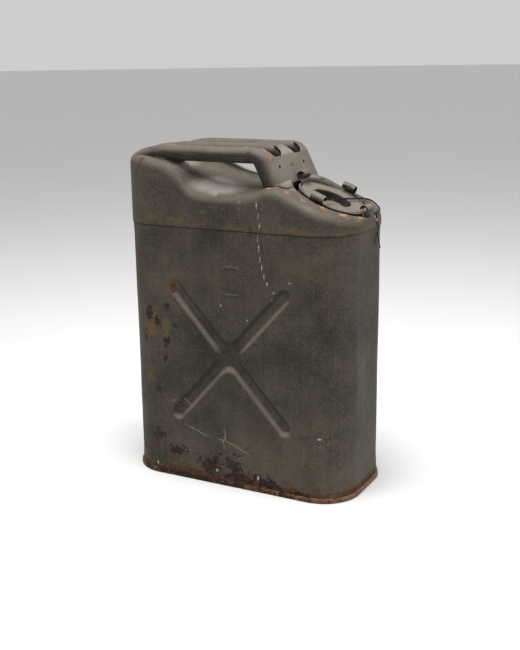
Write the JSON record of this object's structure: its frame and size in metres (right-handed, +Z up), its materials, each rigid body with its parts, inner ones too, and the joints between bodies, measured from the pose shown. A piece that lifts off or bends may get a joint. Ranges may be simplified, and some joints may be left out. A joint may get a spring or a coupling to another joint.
{
  "type": "jerry can",
  "caption": "Upright steel fuel or water can with a three-bar handle, a pressed X on each side and a lugged screw cap tied with a soft wire seal.",
  "frame": {"origin": "centre of the footprint on the ground", "axes": "+X along the can towards the filler, +Y across it, +Z up"},
  "size_m": [0.3492, 0.1692, 0.4735],
  "materials": {
    "body_paint": "weathered matt olive-grey paint, scratched and rusty",
    "base_rust": "rusted hem with worn paint",
    "top_paint": "weathered matt olive-grey paint, dusty on top",
    "handle_paint": "worn matt olive-grey paint, bare at the bends",
    "cap_paint": "faded paint over pressed steel",
    "collar_steel": "dull plated steel",
    "gasket_rubber": "matt black rubber",
    "wire_steel": "dull soft iron wire with rust"
  },
  "bodies": {
    "can": {"body_shell": "body_paint", "bottom_pan": "base_rust", "top_shell": "top_paint", "neck_collar": "collar_steel", "handle_stamping": "handle_paint", "grip_channel_right": "handle_paint", "grip_channel_middle": "handle_paint", "grip_channel_left": "handle_paint", "seal_eye": "wire_steel", "seal_wire_round_rim": "wire_steel"},
    "gasket": {"cap_gasket": "gasket_rubber"},
    "cap": {"cap_shell": "cap_paint", "cap_lug_plate": "cap_paint", "seal_wire_over_cap": "wire_steel"},
    "seal_end": {"seal_link": "wire_steel", "seal_tails": "wire_steel"}
  },
  "joints": [
    {"name": "cap_rise", "type": "slide", "parent": "can", "child": "gasket", "axis": [0.3795, 0, 0.9252], "range_m": [0, 0.0091]},
    {"name": "cap_turn", "type": "hinge", "parent": "gasket", "child": "cap", "pos_m": [0.1185, 0, 0.406], "axis": [0.3795, 0, 0.9252], "range_deg": [0, 540]},
    {"name": "seal_swing", "type": "hinge", "parent": "can", "child": "seal_end", "pos_m": [0.17175, 0.02, 0.3809], "axis": [0, -1, 0], "range_deg": [0, 70]}
  ],
  "couplings": [
    {"joint": "cap_rise", "follows": "cap_turn", "m_per_rad": 0.00095493}
  ]
}
